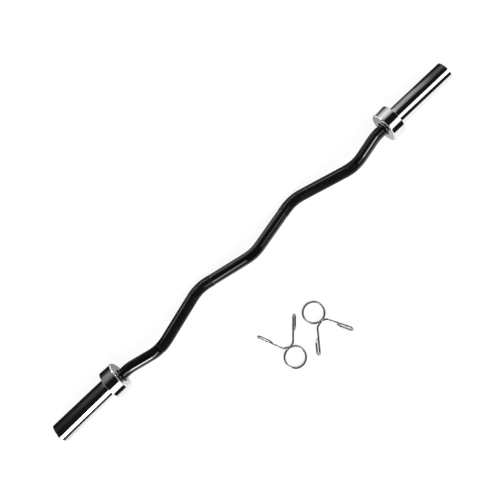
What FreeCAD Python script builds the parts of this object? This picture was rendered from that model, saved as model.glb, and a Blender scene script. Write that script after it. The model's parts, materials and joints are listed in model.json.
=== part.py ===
"""An EZ curl bar lying on the floor, with its two spring clips beside it.

Millimetres and degrees. The origin is the middle of the bar, on the axis that both sleeves turn about.
+X runs along the bar to the right sleeve, +Y is the side that the inner bends lean to, and +Z is up.
"""
import FreeCAD, Part
import math
import os

from FreeCAD import Placement, Rotation, Vector

# Bent shaft: spans run along the sleeve axis, offsets run square to it in the plane of the bends
SHAFT_DIAMETER = 28.0
BEND_RADIUS = 75.0
MIDDLE_SPAN = 154.0
GRIP_SPAN = 156.0
OUTER_SPAN = 87.0
STUB_LENGTH = 26.0
MIDDLE_BEND_OFFSET = 8.4
INNER_BEND_OFFSET = 38.0
OUTER_BEND_OFFSET = 27.5
KNURL_RISE = 0.25
KNURL_PAST_INNER_BEND = 42.0

# Journals, which the sleeves turn on
SHOULDER_STEP = 1.5
SHOULDER_DEPTH = 9.0
JOURNAL_CHAMFER = 1.0

# Sleeve tubes and plate collars
SLEEVE_DIAMETER = 50.0
SLEEVE_WALL = 7.0
LOADING_LENGTH = 165.0
SLEEVE_END_CHAMFER = 2.0
COLLAR_DIAMETER = 78.0
COLLAR_WIDTH = 34.0
COLLAR_CHAMFER = 2.5
COLLAR_SEAT_STEP = 1.0

# Bushes, seals and thrust washers inside the sleeves
BUSH_LENGTH = 30.0
BUSH_STOP_STEP = 2.0
BUSH_CHAMFER = 0.8
RUNNING_GAP = 0.05
SEAL_WIDTH = 4.0
SEAL_GAP = 0.3
SEAL_LIP = 1.0
WASHER_GAP = 0.4
THRUST_WASHER_THICKNESS = 2.0
END_PLAY = 0.3

# Fastening that keeps each sleeve on its journal
END_WASHER_THICKNESS = 4.0
BOLT_DIAMETER = 10.0
BOLT_DEPTH = 28.0
BOLT_THREAD_GAP = 0.1
BOLT_TIP_CHAMFER = 1.5
BOLT_HEAD_FLATS = 17.0
BOLT_HEAD_HEIGHT = 6.5
BOLT_HEAD_CHAMFER = 0.8
BOLT_HEAD_SIDES = 6
LOCK_WASHER_THICKNESS = 2.5
LOCK_WASHER_SLIT = 1.5
LOCK_WASHER_SLIT_DEG = 25.0

# End cap and the snap ring that holds it
CAP_SEAT_STEP = 2.0
CAP_THICKNESS = 3.0
CAP_RIM_WIDTH = 5.0
CAP_RIM_HEIGHT = 1.0
CAP_HEAD_ROOM = 2.0
SNAP_RING_THICKNESS = 1.8
SNAP_RING_WIDTH = 4.0
SNAP_RING_GAP_DEG = 40.0
SNAP_RING_LUG_DIAMETER = 6.0
SNAP_RING_EYE_DIAMETER = 2.5
SNAP_GROOVE_DEPTH = 1.5
SNAP_GROOVE_GAP = 0.1
SNAP_RING_SETBACK = 4.0

# Spring clips: the wire is wound to a bore smaller than the sleeve that it grips
CLIP_WIRE_DIAMETER = 5.0
CLIP_GRIP = 3.0
CLIP_TURN_GAP = 0.9
CLIP_FULL_TURNS = 2
CLIP_PIECES_PER_TURN = 4
CLIP_GAP_POINTS_PER_PIECE = 45
CLIP_EXIT_DEG = 18.0
CLIP_SPREAD_DEG = 60.0
CLIP_CROSS_RUN = 23.5
CLIP_ARM_REACH = 76.0
CLIP_ARM_BEND_RADIUS = 10.0
CLIP_LOOP_LENGTH = 38.0
CLIP_LOOP_WIDTH = 12.0
CLIP_LOOP_LEAN_DEG = 27.0
CLIP_LOOP_END_GAP = 0.8
CLIP_LOOP_END_RUN = 9.0
CLIP_LOOP_END_BEND_RADIUS = 8.0
CLIP_A_X = -98.0
CLIP_A_Y = -253.5
CLIP_A_TURN_DEG = 79.8
CLIP_B_X = 7.0
CLIP_B_Y = -206.0
CLIP_B_TURN_DEG = -94.7

CUT_OVERRUN = 5.0

# Shaft stations along the sleeve axis
inner_bend_x = MIDDLE_SPAN
outer_bend_x = inner_bend_x + GRIP_SPAN
first_bend_x = outer_bend_x + OUTER_SPAN
collar_face_x = first_bend_x + STUB_LENGTH
shoulder_x = collar_face_x + SHOULDER_DEPTH
collar_back_x = collar_face_x + COLLAR_WIDTH
sleeve_end_x = collar_back_x + LOADING_LENGTH

# Sleeve contents, counted in from the sleeve's outer end
snap_ring_x = sleeve_end_x - SNAP_RING_SETBACK - SNAP_RING_THICKNESS
cap_x = snap_ring_x - SNAP_GROOVE_GAP - CAP_THICKNESS
bolt_head_x = cap_x - CAP_HEAD_ROOM - BOLT_HEAD_HEIGHT
lock_washer_x = bolt_head_x - LOCK_WASHER_THICKNESS
end_washer_x = lock_washer_x - END_WASHER_THICKNESS
journal_end_x = end_washer_x
outer_bush_x = journal_end_x - END_PLAY - BUSH_LENGTH
thrust_washer_end_x = shoulder_x + THRUST_WASHER_THICKNESS
inner_bush_x = thrust_washer_end_x + END_PLAY

# Radii that fit one inside the other
shaft_radius = SHAFT_DIAMETER / 2
knurl_radius = shaft_radius + KNURL_RISE
journal_radius = shaft_radius - SHOULDER_STEP
bush_bore_radius = journal_radius + RUNNING_GAP
sleeve_radius = SLEEVE_DIAMETER / 2
seat_radius = sleeve_radius - SLEEVE_WALL
sleeve_bore_radius = seat_radius - BUSH_STOP_STEP
washer_radius = seat_radius - WASHER_GAP
cap_seat_radius = seat_radius + CAP_SEAT_STEP
snap_groove_radius = cap_seat_radius + SNAP_GROOVE_DEPTH
collar_radius = COLLAR_DIAMETER / 2
collar_seat_radius = sleeve_radius - COLLAR_SEAT_STEP
bolt_radius = BOLT_DIAMETER / 2
bolt_hole_radius = bolt_radius + BOLT_THREAD_GAP

# Clip wire
wire_radius = CLIP_WIRE_DIAMETER / 2
coil_radius = sleeve_radius - CLIP_GRIP / 2 + wire_radius
coil_pieces = CLIP_FULL_TURNS * CLIP_PIECES_PER_TURN
coil_piece_deg = (CLIP_FULL_TURNS * 360 - 2 * CLIP_EXIT_DEG) / coil_pieces
coil_height = 2 * (CLIP_WIRE_DIAMETER + CLIP_TURN_GAP)
floor_z = -collar_radius

X_AXIS = Vector(1, 0, 0)
Z_AXIS = Vector(0, 0, 1)
ORIGIN = Vector(0, 0, 0)


def turned(outline):
    """A solid of revolution about the sleeve axis, from an outline of (x, radius) points."""
    points = [Vector(x, 0, radius) for x, radius in outline]
    face = Part.Face(Part.makePolygon(points + points[:1]))
    return face.revolve(ORIGIN, X_AXIS, 360)


def ring(start_x, length, inner_radius, outer_radius, chamfer=0):
    """A plain ring on the sleeve axis, with its four edges chamfered if asked."""
    end_x = start_x + length
    if not chamfer:
        return turned([(start_x, inner_radius), (end_x, inner_radius),
                       (end_x, outer_radius), (start_x, outer_radius)])
    return turned([
        (start_x, inner_radius + chamfer), (start_x + chamfer, inner_radius),
        (end_x - chamfer, inner_radius), (end_x, inner_radius + chamfer),
        (end_x, outer_radius - chamfer), (end_x - chamfer, outer_radius),
        (start_x + chamfer, outer_radius), (start_x, outer_radius - chamfer),
    ])


def rod(start_x, length, radius):
    return Part.makeCylinder(radius, length, Vector(start_x, 0, 0), X_AXIS)


def disc(radius, centre, normal):
    return Part.Face(Part.Wire(Part.makeCircle(radius, centre, normal)))


def bent_rod(corners, bend_radii, radius):
    """A round rod along straight runs between corners, with an arc of its own radius at each inner corner."""
    pieces = []
    start = corners[0]
    for before, corner, after, bend_radius in zip(corners, corners[1:], corners[2:], bend_radii):
        come = (corner - before).normalize()
        leave = (after - corner).normalize()
        turn = come.getAngle(leave)
        setback = bend_radius * math.tan(turn / 2)
        bend_start = corner - come * setback
        axis = come.cross(leave).normalize()
        centre = bend_start + axis.cross(come) * bend_radius
        pieces.append(Part.makeCylinder(radius, (bend_start - start).Length, start, come))
        pieces.append(disc(radius, bend_start, come).revolve(centre, axis, math.degrees(turn)))
        start = corner + leave * setback
    last = corners[-1] - start
    pieces.append(Part.makeCylinder(radius, last.Length, start, last))
    return pieces[0].multiFuse(pieces[1:]).removeSplitter()


def bend_reach():
    """How far the centreline of an inner bend stands off the sleeve axis, at the crown of its arc."""
    rise = math.atan2(INNER_BEND_OFFSET + OUTER_BEND_OFFSET, GRIP_SPAN)
    fall = math.atan2(INNER_BEND_OFFSET + MIDDLE_BEND_OFFSET, MIDDLE_SPAN)
    crown_loss = BEND_RADIUS * (math.cos((rise - fall) / 2) / math.cos((rise + fall) / 2) - 1)
    return INNER_BEND_OFFSET - crown_loss


def lean_direction():
    """The inner bends sink until they touch the floor that the collars stand on, or hang straight down."""
    drop_share = min(1, (collar_radius - knurl_radius) / bend_reach())
    return Vector(0, math.sqrt(1 - drop_share ** 2), -drop_share)


def shaft_point(x, offset):
    return X_AXIS * x + lean_direction() * offset


def knurled_grip(side):
    """The grip from the crown of the outer bend, round the inner bend and a little way past it."""
    outer = shaft_point(side * outer_bend_x, -OUTER_BEND_OFFSET)
    inner = shaft_point(side * inner_bend_x, INNER_BEND_OFFSET)
    come = (outer - shaft_point(side * first_bend_x, 0)).normalize()
    leave = (inner - outer).normalize()
    inward = (shaft_point(0, -MIDDLE_BEND_OFFSET) - inner).normalize()
    turn = come.getAngle(leave)
    half_setback = BEND_RADIUS * math.tan(turn / 4)
    half_corner = outer + leave * (BEND_RADIUS * math.tan(turn / 2) - half_setback)
    crown = half_corner - (come + leave).normalize() * half_setback
    grip_end = inner + inward * KNURL_PAST_INNER_BEND
    return bent_rod([crown, half_corner, inner, grip_end], [BEND_RADIUS, BEND_RADIUS], knurl_radius)


def journal(side):
    """The turned end of the shaft, with a chamfered tip."""
    end_radius = journal_radius - JOURNAL_CHAMFER
    solid = turned([(shoulder_x, 0), (journal_end_x, 0), (journal_end_x, end_radius),
                    (journal_end_x - JOURNAL_CHAMFER, journal_radius), (shoulder_x, journal_radius)])
    return facing(solid, side)


def bolt_hole(side):
    depth = BOLT_DEPTH + BOLT_THREAD_GAP
    return facing(rod(journal_end_x - depth, depth + CUT_OVERRUN, bolt_hole_radius), side)


def bent_shaft():
    half = [
        (first_bend_x, 0),
        (outer_bend_x, -OUTER_BEND_OFFSET),
        (inner_bend_x, INNER_BEND_OFFSET),
    ]
    right = [shaft_point(x, offset) for x, offset in half]
    left = [shaft_point(-x, offset) for x, offset in half]
    ends = [X_AXIS * -shoulder_x, X_AXIS * shoulder_x]
    middle = shaft_point(0, -MIDDLE_BEND_OFFSET)
    corners = [ends[0], *left, middle, *right[::-1], ends[1]]
    bar = bent_rod(corners, [BEND_RADIUS] * (len(corners) - 2), shaft_radius)
    bar = bar.multiFuse([knurled_grip(-1), knurled_grip(1), journal(-1), journal(1)])
    return bar.cut([bolt_hole(-1), bolt_hole(1)]).removeSplitter()


def facing(solid, side):
    """The right end's piece as it is, or turned half round to the left end."""
    return solid if side > 0 else solid.rotated(ORIGIN, Z_AXIS, 180)


def sleeve_tube():
    """The tube that plates slide onto, bored in steps for the bushes, the cap and its snap ring.

    Its inner end is turned down, so that the collar stops against a small shoulder.
    """
    inner_seat_end = inner_bush_x + BUSH_LENGTH
    groove_start = snap_ring_x - SNAP_GROOVE_GAP
    groove_end = snap_ring_x + SNAP_RING_THICKNESS + SNAP_GROOVE_GAP
    return turned([
        (collar_face_x, seat_radius), (inner_seat_end, seat_radius),
        (inner_seat_end, sleeve_bore_radius), (outer_bush_x, sleeve_bore_radius),
        (outer_bush_x, seat_radius), (cap_x, seat_radius),
        (cap_x, cap_seat_radius), (groove_start, cap_seat_radius),
        (groove_start, snap_groove_radius), (groove_end, snap_groove_radius),
        (groove_end, cap_seat_radius), (sleeve_end_x, cap_seat_radius),
        (sleeve_end_x, sleeve_radius - SLEEVE_END_CHAMFER),
        (sleeve_end_x - SLEEVE_END_CHAMFER, sleeve_radius), (collar_back_x, sleeve_radius),
        (collar_back_x, collar_seat_radius), (collar_face_x, collar_seat_radius),
    ])


def plate_collar():
    """The wide ring that plates stop against, pressed onto the tube's inner end.

    Its bore is chamfered at the back, so that its flat face starts where the tube comes out.
    """
    rim = collar_radius - COLLAR_CHAMFER
    return turned([
        (collar_face_x, collar_seat_radius), (collar_back_x - COLLAR_SEAT_STEP, collar_seat_radius),
        (collar_back_x, sleeve_radius), (collar_back_x, rim), (collar_back_x - COLLAR_CHAMFER, collar_radius),
        (collar_face_x + COLLAR_CHAMFER, collar_radius), (collar_face_x, rim),
    ])


def dust_seal():
    """A ring flush with the collar's face, with a thin lip next to the shaft."""
    lip_radius = shaft_radius + SEAL_GAP
    lip_x = collar_face_x + SEAL_LIP
    back_x = collar_face_x + SEAL_WIDTH
    return turned([
        (lip_x, lip_radius), (lip_x + SEAL_LIP, lip_radius),
        (back_x, lip_radius + SEAL_LIP), (back_x, seat_radius),
        (collar_face_x, seat_radius), (collar_face_x, lip_radius + SEAL_LIP),
    ])


def bush(start_x):
    return ring(start_x, BUSH_LENGTH, bush_bore_radius, seat_radius, BUSH_CHAMFER)


def thrust_washer():
    return ring(shoulder_x, THRUST_WASHER_THICKNESS, bush_bore_radius, washer_radius)


def end_washer():
    return ring(end_washer_x, END_WASHER_THICKNESS, bolt_hole_radius, washer_radius)


def lock_washer():
    """A split ring under the bolt's head, cut through on a slant."""
    washer = ring(lock_washer_x, LOCK_WASHER_THICKNESS, bolt_hole_radius, BOLT_HEAD_FLATS / 2)
    reach = LOCK_WASHER_THICKNESS + CUT_OVERRUN
    slit = Part.makeBox(2 * reach, LOCK_WASHER_SLIT, BOLT_HEAD_FLATS)
    slit.translate(Vector(-reach, -LOCK_WASHER_SLIT / 2, 0))
    slit.rotate(ORIGIN, Z_AXIS, LOCK_WASHER_SLIT_DEG)
    slit.translate(X_AXIS * (lock_washer_x + LOCK_WASHER_THICKNESS / 2))
    return washer.cut(slit)


def end_bolt():
    """A hexagon bolt: its shank fills the threaded hole in the journal."""
    corner_radius = BOLT_HEAD_FLATS / 2 / math.cos(math.pi / BOLT_HEAD_SIDES)
    angles = [2 * math.pi * side / BOLT_HEAD_SIDES for side in range(BOLT_HEAD_SIDES + 1)]
    hexagon = [Vector(bolt_head_x, corner_radius * math.cos(a), corner_radius * math.sin(a)) for a in angles]
    head = Part.Face(Part.makePolygon(hexagon)).extrude(X_AXIS * BOLT_HEAD_HEIGHT)
    top_x = bolt_head_x + BOLT_HEAD_HEIGHT
    crown = turned([(bolt_head_x, 0), (top_x, 0), (top_x, BOLT_HEAD_FLATS / 2),
                    (top_x - BOLT_HEAD_CHAMFER, corner_radius), (bolt_head_x, corner_radius)])
    tip_x = journal_end_x - BOLT_DEPTH
    shank = turned([(tip_x, 0), (bolt_head_x, 0), (bolt_head_x, bolt_radius),
                    (tip_x + BOLT_TIP_CHAMFER, bolt_radius), (tip_x, bolt_radius - BOLT_TIP_CHAMFER)])
    return head.common(crown).fuse(shank).removeSplitter()


def end_cap():
    """A plain disc that closes the sleeve, with a low rim for the snap ring to press on."""
    front_x = cap_x + CAP_THICKNESS
    rim_radius = cap_seat_radius - CAP_RIM_WIDTH
    well_x = front_x - CAP_RIM_HEIGHT
    return turned([(cap_x, 0), (well_x, 0), (well_x, rim_radius - CAP_RIM_HEIGHT), (front_x, rim_radius),
                   (front_x, cap_seat_radius), (cap_x, cap_seat_radius)])


def snap_ring():
    """An open ring sprung into the sleeve's groove, with an eye at each end for pliers."""
    outer = snap_groove_radius - SNAP_GROOVE_GAP
    inner = outer - SNAP_RING_WIDTH
    lug_radius = SNAP_RING_LUG_DIAMETER / 2
    band = ring(snap_ring_x, SNAP_RING_THICKNESS, inner, outer)
    half_gap = SNAP_RING_GAP_DEG / 2
    reach = outer + CUT_OVERRUN
    edges = [Vector(snap_ring_x, reach * math.sin(math.radians(a)), reach * math.cos(math.radians(a)))
             for a in (-half_gap, half_gap)]
    wedge = Part.Face(Part.makePolygon([X_AXIS * snap_ring_x, *edges, X_AXIS * snap_ring_x]))
    band = band.cut(wedge.extrude(X_AXIS * SNAP_RING_THICKNESS))
    lug_turn = half_gap + math.degrees(lug_radius / inner)
    for turn in (-lug_turn, lug_turn):
        a = math.radians(turn)
        centre = Vector(snap_ring_x, inner * math.sin(a), inner * math.cos(a))
        lug = Part.makeCylinder(lug_radius, SNAP_RING_THICKNESS, centre, X_AXIS)
        eye = Part.makeCylinder(SNAP_RING_EYE_DIAMETER / 2, SNAP_RING_THICKNESS, centre, X_AXIS)
        band = band.fuse(lug).cut(eye)
    return band.removeSplitter()


def coil_point(index):
    """Where the wire's middle is after so many pieces of the winding, and which way it runs there."""
    angle = -math.radians(CLIP_EXIT_DEG + index * coil_piece_deg)
    step = coil_height / (coil_pieces - 1)
    at_end = index in (0, coil_pieces)
    height = step * min(max(index - 1 / 2, 0), coil_pieces - 1)
    climb = 0 if at_end else step / (coil_radius * math.radians(coil_piece_deg))
    place = Vector(coil_radius * math.cos(angle), coil_radius * math.sin(angle), wire_radius + height)
    return place, Vector(math.sin(angle), -math.cos(angle), climb).normalize()


def arc_from(start, tangent, end):
    """The arc that leaves a point along a tangent and ends at another point."""
    chord = end - start
    along = Vector(chord).normalize()
    half_turn = tangent.getAngle(along)
    bulge = (tangent - along * tangent.dot(along)).normalize()
    middle = start + chord / 2 + bulge * (chord.Length / 2 * math.tan(half_turn / 2))
    return Part.Arc(start, middle, end)


def biarc(start, start_tangent, end, end_tangent):
    """Two arcs that join two points and their tangents smoothly."""
    span = end - start
    sum_along = span.dot(start_tangent + end_tangent)
    spread = 2 * (1 - start_tangent.dot(end_tangent))
    reach = (math.sqrt(sum_along ** 2 + spread * span.dot(span)) - sum_along) / spread
    joint = (start + end) / 2 + (start_tangent - end_tangent) * (reach / 2)
    return [arc_from(start, start_tangent, joint), arc_from(end, -end_tangent, joint)]


def coil_path():
    """The winding from the lower arm to the upper one, with a straight lead as long as the wire is thick."""
    nodes = [coil_point(index) for index in range(coil_pieces + 1)]
    first, first_way = nodes[0]
    last, last_way = nodes[-1]
    curves = [Part.LineSegment(first - first_way * CLIP_WIRE_DIAMETER, first)]
    for (start, start_way), (end, end_way) in zip(nodes, nodes[1:]):
        curves += biarc(start, start_way, end, end_way)
    curves.append(Part.LineSegment(last, last + last_way * CLIP_WIRE_DIAMETER))
    return Part.Wire(Part.sortEdges([curve.toShape() for curve in curves])[0])


def least_coil_gap(path):
    """The least clear distance between one turn of the winding and the next, measured on points."""
    count = coil_pieces * CLIP_GAP_POINTS_PER_PIECE
    points = path.discretize(count)
    half_turn = count // (2 * CLIP_FULL_TURNS)
    nearest = min((a - b).Length for i, a in enumerate(points) for b in points[i + half_turn:])
    return nearest - CLIP_WIRE_DIAMETER


def clip_coil():
    path = coil_path()
    first, first_way = coil_point(0)
    start = first - first_way * CLIP_WIRE_DIAMETER
    profile = Part.Wire(Part.makeCircle(wire_radius, start, first_way))
    print("least gap between the turns of a clip: %.2f mm" % least_coil_gap(path))
    return path.makePipeShell([profile], True, False)


def clip_arm(hand):
    """One arm from the end of the winding: across the other arm, out, and back in a closed finger loop.

    The lower arm has hand 1 and its loop stands up, the upper arm has hand -1 and its loop hangs down.
    """
    root, way = coil_point(0 if hand > 0 else coil_pieces)
    way = way * -hand
    corner = root + way * CLIP_CROSS_RUN
    tip_angle = math.radians(hand * CLIP_SPREAD_DEG / 2)
    tip_radius = coil_radius + CLIP_ARM_REACH
    tip = Vector(tip_radius * math.cos(tip_angle), tip_radius * math.sin(tip_angle), root.z)
    out = (tip - corner).normalize()
    lean = math.radians(CLIP_LOOP_LEAN_DEG)
    across = out.cross(Z_AXIS) * math.sin(lean) + Z_AXIS * (hand * math.cos(lean))
    far = tip + across * CLIP_LOOP_WIDTH
    back = far - out * (CLIP_LOOP_LENGTH - CLIP_LOOP_END_RUN)
    tail = tip - out * CLIP_LOOP_LENGTH + across * (CLIP_WIRE_DIAMETER + CLIP_LOOP_END_GAP)
    loop_radius = CLIP_LOOP_WIDTH / 2
    radii = [CLIP_ARM_BEND_RADIUS, loop_radius, loop_radius, CLIP_LOOP_END_BEND_RADIUS]
    return bent_rod([root + way * CLIP_WIRE_DIAMETER, corner, tip, far, back, tail], radii, wire_radius)


def sleeve_pieces():
    """Every piece of the right sleeve's end, by name."""
    return {
        "sleeve_tube": sleeve_tube(),
        "plate_collar": plate_collar(),
        "dust_seal": dust_seal(),
        "inner_bush": bush(inner_bush_x),
        "outer_bush": bush(outer_bush_x),
        "thrust_washer": thrust_washer(),
        "end_washer": end_washer(),
        "lock_washer": lock_washer(),
        "end_bolt": end_bolt(),
        "end_cap": end_cap(),
        "snap_ring": snap_ring(),
    }


def clip_pieces():
    """Every piece of a clip that lies at the origin with its arms towards +X, by name."""
    return {"coil": clip_coil(), "lower_arm": clip_arm(1), "upper_arm": clip_arm(-1)}


def assembly():
    nodes = {"bent_shaft": bent_shaft()}
    for name, piece in sleeve_pieces().items():
        nodes["right_" + name] = facing(piece, 1)
        nodes["left_" + name] = facing(piece, -1)
    places = {
        "clip_a": Placement(Vector(CLIP_A_X, CLIP_A_Y, floor_z), Rotation(Z_AXIS, CLIP_A_TURN_DEG)),
        "clip_b": Placement(Vector(CLIP_B_X, CLIP_B_Y, floor_z), Rotation(Z_AXIS, CLIP_B_TURN_DEG)),
    }
    for name, piece in clip_pieces().items():
        for clip, place in places.items():
            nodes[clip + "_" + name] = piece.transformed(place.toMatrix(), True)
    return nodes


os.makedirs("parts", exist_ok=True)
for name, solid in assembly().items():
    solid.exportStep("parts/" + name + ".step")
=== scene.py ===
"""The looks of an EZ curl bar and its two spring clips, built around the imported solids. Metres, degrees."""
import json
import math

import bmesh
import bpy
import numpy as np
from mathutils import Matrix, Vector

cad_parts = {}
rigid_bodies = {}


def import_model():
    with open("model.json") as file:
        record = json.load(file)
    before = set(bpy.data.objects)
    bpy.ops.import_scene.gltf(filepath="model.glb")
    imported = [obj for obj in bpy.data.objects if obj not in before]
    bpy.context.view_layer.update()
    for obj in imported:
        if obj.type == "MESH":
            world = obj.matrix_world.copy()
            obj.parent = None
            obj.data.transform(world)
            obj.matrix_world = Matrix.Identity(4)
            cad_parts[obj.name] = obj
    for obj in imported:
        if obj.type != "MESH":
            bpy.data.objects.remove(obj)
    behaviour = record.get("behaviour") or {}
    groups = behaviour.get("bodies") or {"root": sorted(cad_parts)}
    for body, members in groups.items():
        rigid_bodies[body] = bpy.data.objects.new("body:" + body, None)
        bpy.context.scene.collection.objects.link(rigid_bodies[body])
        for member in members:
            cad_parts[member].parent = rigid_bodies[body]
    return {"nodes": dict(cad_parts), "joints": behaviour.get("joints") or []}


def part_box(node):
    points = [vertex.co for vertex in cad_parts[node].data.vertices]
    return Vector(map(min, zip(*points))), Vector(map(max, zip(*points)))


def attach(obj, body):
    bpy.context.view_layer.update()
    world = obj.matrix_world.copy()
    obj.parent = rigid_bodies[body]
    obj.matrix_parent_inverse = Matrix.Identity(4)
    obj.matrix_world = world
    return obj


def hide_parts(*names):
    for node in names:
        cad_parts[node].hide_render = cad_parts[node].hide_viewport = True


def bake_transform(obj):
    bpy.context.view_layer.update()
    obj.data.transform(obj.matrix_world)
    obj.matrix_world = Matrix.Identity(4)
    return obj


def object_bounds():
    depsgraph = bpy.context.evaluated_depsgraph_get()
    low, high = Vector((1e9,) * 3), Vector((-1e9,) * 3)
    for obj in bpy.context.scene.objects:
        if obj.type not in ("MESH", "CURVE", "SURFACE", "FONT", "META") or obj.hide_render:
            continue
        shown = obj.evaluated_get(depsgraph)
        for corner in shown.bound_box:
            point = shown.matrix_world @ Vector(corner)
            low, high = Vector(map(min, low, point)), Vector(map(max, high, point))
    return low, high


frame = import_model()
cad_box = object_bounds()

# Bent shaft: spans run along the sleeve axis, offsets run square to it in the plane of the bends
SHAFT_RADIUS = 0.014
BEND_RADIUS = 0.075
MIDDLE_SPAN = 0.154
GRIP_SPAN = 0.156
OUTER_SPAN = 0.087
MIDDLE_BEND_OFFSET = 0.0084
INNER_BEND_OFFSET = 0.038
OUTER_BEND_OFFSET = 0.0275
SHOULDER_X = 0.432
JOURNAL_RADIUS = 0.0125
JOURNAL_CHAMFER = 0.001
BOLT_HOLE_RADIUS = 0.0051
BOLT_HOLE_GAP = 0.0001
SHAFT_STEP = 0.004
SHAFT_SIDES = 96

# Places of the left bends in the shaft's row of runs, where straight runs and bends take turns
OUTER_BEND_RUN = 3
INNER_BEND_RUN = 5

# Knurled grips: flat-topped points stand a little above the smooth shaft
KNURL_RISE = 0.00025
KNURL_DEPTH = 0.00014
KNURL_FLAT_SHARE = 0.78
KNURL_POINTS_AROUND = 64
KNURL_POINT_LENGTH = 0.0022
KNURL_PAST_INNER_BEND = 0.042
KNURL_RUN_OUT = 0.004
KNURL_SINK = 0.00005
KNURL_WAY_STEP = 0.0008

# Corners of a knurl point's flat top: (way along the shaft, way round it)
KNURL_TOP_CORNERS = ((-1, 0), (0, -1), (1, 0), (0, 1))

# Rounded edges of turned pieces: the most of a side that a rounding takes, and where its close neighbours are
EDGE_RADIUS = 0.0004
EDGE_STEPS = 4
EDGE_MOST_SHARE = 1 / 4
EDGE_NEIGHBOUR_SHARE = 3 / 2
LATHE_SEGMENTS = 160
SAME_POINT = 0.000001

# Sleeves and collars
SLEEVE_CHAMFER = 0.003
COLLAR_CHAMFER = 0.0025
COLLAR_BACK_CHAMFER = 0.0005
MOUTH_CHAMFER = 0.0006
COLLAR_SEAT_STEP = 0.001
SNAP_GROOVE_DEPTH = 0.0015
SNAP_GROOVE_GAP = 0.0001
SEAL_LIP = 0.001
SEAL_GAP = 0.0003
SEAL_CASE_WIDTH = 0.0014
SEAL_CASE_STAND = 0.0008
CAP_RIM_WIDTH = 0.005
CAP_RIM_HEIGHT = 0.001

# Spring clips
WIRE_RADIUS = 0.0025
COIL_RADIUS = 0.026
COIL_TURN_GAP = 0.0009
COIL_FULL_TURNS = 2
COIL_LEVEL_SHARE = 1 / 16
COIL_EXIT_DEG = 18
CLIP_SPREAD_DEG = 60
CLIP_CROSS_RUN = 0.0235
CLIP_ARM_REACH = 0.076
CLIP_ARM_BEND_RADIUS = 0.010
CLIP_LOOP_LENGTH = 0.038
CLIP_LOOP_WIDTH = 0.012
CLIP_LOOP_LEAN_DEG = 27
CLIP_LOOP_END_GAP = 0.0008
CLIP_LOOP_END_RUN = 0.009
CLIP_LOOP_END_BEND_RADIUS = 0.008
CLIP_TURN_DEG = {"clip_a": 79.8, "clip_b": -94.7}
WIRE_STEP = 0.0008
WIRE_SIDES = 28

# Noise in the materials: (waves to the metre along each axis, detail), and the range that most of it stays in
CHROME_SMEARS = ((25, 25, 25), 3)
CHROME_LINES = ((1500, 30, 30), 2)
WIRE_PATCHES = ((120, 120, 120), 4)
WIRE_GRAIN = ((1800, 1800, 1800), 2)
COAT_SMEARS = ((40, 40, 40), 3)
COAT_RIPPLE = ((500, 500, 500), 2)
GRIP_GRAIN = ((900, 900, 900), 2)
RUBBER_GRAIN = ((700, 700, 700), 4)
TURNED_LINES = ((4000, 40, 40), 2)
TURNED_STAINS = ((60, 60, 60), 4)
NOISE_LOW = 0.3
NOISE_HIGH = 0.7

# Bump depths
CHROME_LINE_DEPTH = 0.000003
WIRE_GRAIN_DEPTH = 0.000004
COAT_RIPPLE_DEPTH = 0.000006
GRIP_GRAIN_DEPTH = 0.00002
RUBBER_GRAIN_DEPTH = 0.00005
TURNED_LINE_DEPTH = 0.00001

# Colours from dark to light, and roughness and gloss from low to high
CHROME_SHADES = ((0.8, 0.81, 0.82), (0.86, 0.865, 0.87))
CHROME_ROUGHNESS = (0.035, 0.075)
WIRE_SHADES = ((0.3, 0.3, 0.305), (0.44, 0.44, 0.445))
WIRE_ROUGHNESS = (0.28, 0.38)
COAT_SHADES = ((0.003, 0.003, 0.0035), (0.006, 0.006, 0.0065))
COAT_ROUGHNESS = (0.05, 0.1)
COAT_IOR = 1.5
GRIP_SHADES = ((0.003, 0.003, 0.0035), (0.008, 0.008, 0.0085))
GRIP_ROUGHNESS = (0.14, 0.22)
GRIP_GLOSS = (0.05, 0.25)
RUBBER_SHADES = ((0.012, 0.012, 0.012), (0.03, 0.03, 0.03))
RUBBER_ROUGHNESS = (0.55, 0.75)

# Turned metals: (dark colour, light colour, least roughness)
TURNED_METALS = {
    "journal_steel": ((0.45, 0.46, 0.47), (0.55, 0.56, 0.57), 0.15),
    "case_steel": ((0.3, 0.305, 0.31), (0.42, 0.425, 0.43), 0.2),
    "bush_bronze": ((0.45, 0.28, 0.12), (0.6, 0.4, 0.18), 0.25),
    "washer_steel": ((0.45, 0.46, 0.47), (0.6, 0.61, 0.62), 0.25),
    "bolt_steel": ((0.5, 0.5, 0.47), (0.65, 0.65, 0.62), 0.3),
    "ring_steel": ((0.1, 0.1, 0.105), (0.22, 0.22, 0.23), 0.3),
}
TURNED_ROUGHNESS_RANGE = 0.15

# Camera
CAMERA_X = -0.0012
CAMERA_Y = 0.0076
CAMERA_HEIGHT = 1.53
CAMERA_ROLL_DEG = -43.26
CAMERA_LENS = 46.85

# Lamps: a broad one over each end of the bar, which its reflections don't show
LAMP_X = 1.6
LAMP_TILT_DEG = 35
LAMP_DISTANCE = 2.1
LAMP_LENGTH = 1.9
LAMP_WIDTH = 1.6
LAMP_RADIANCE = 3

# Floor and world: the floor's own glow grows from near to far
FLOOR_SIZE = 40
FLOOR_SHADE = 0.22
FLOOR_NEAR_GLOW = 0.86
FLOOR_FAR_GLOW = 0.91
FLOOR_NEAR_REACH = 0.5
FLOOR_FAR_REACH = 3.5
WORLD_FILL = 0.5

# Studio cards, which only show in reflections, and the dim room around them
ROOM_LEVEL = 0.009
CARD_REACH = 3.5
CARD_LIFT = 0.0002
CEILING_HEIGHT = 2.6
CEILING_FRONT_Y = -3.0
CEILING_BACK_Y = 3.5
FRONT_CARD_BOTTOM_LEFT = -0.3
FRONT_CARD_BOTTOM_RIGHT = 1.0
END_CARD_BOTTOM = 0.35
END_CARD_BOTTOM_LEVEL = 0.4
PALE_FLOOR_END_X = -0.68

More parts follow.
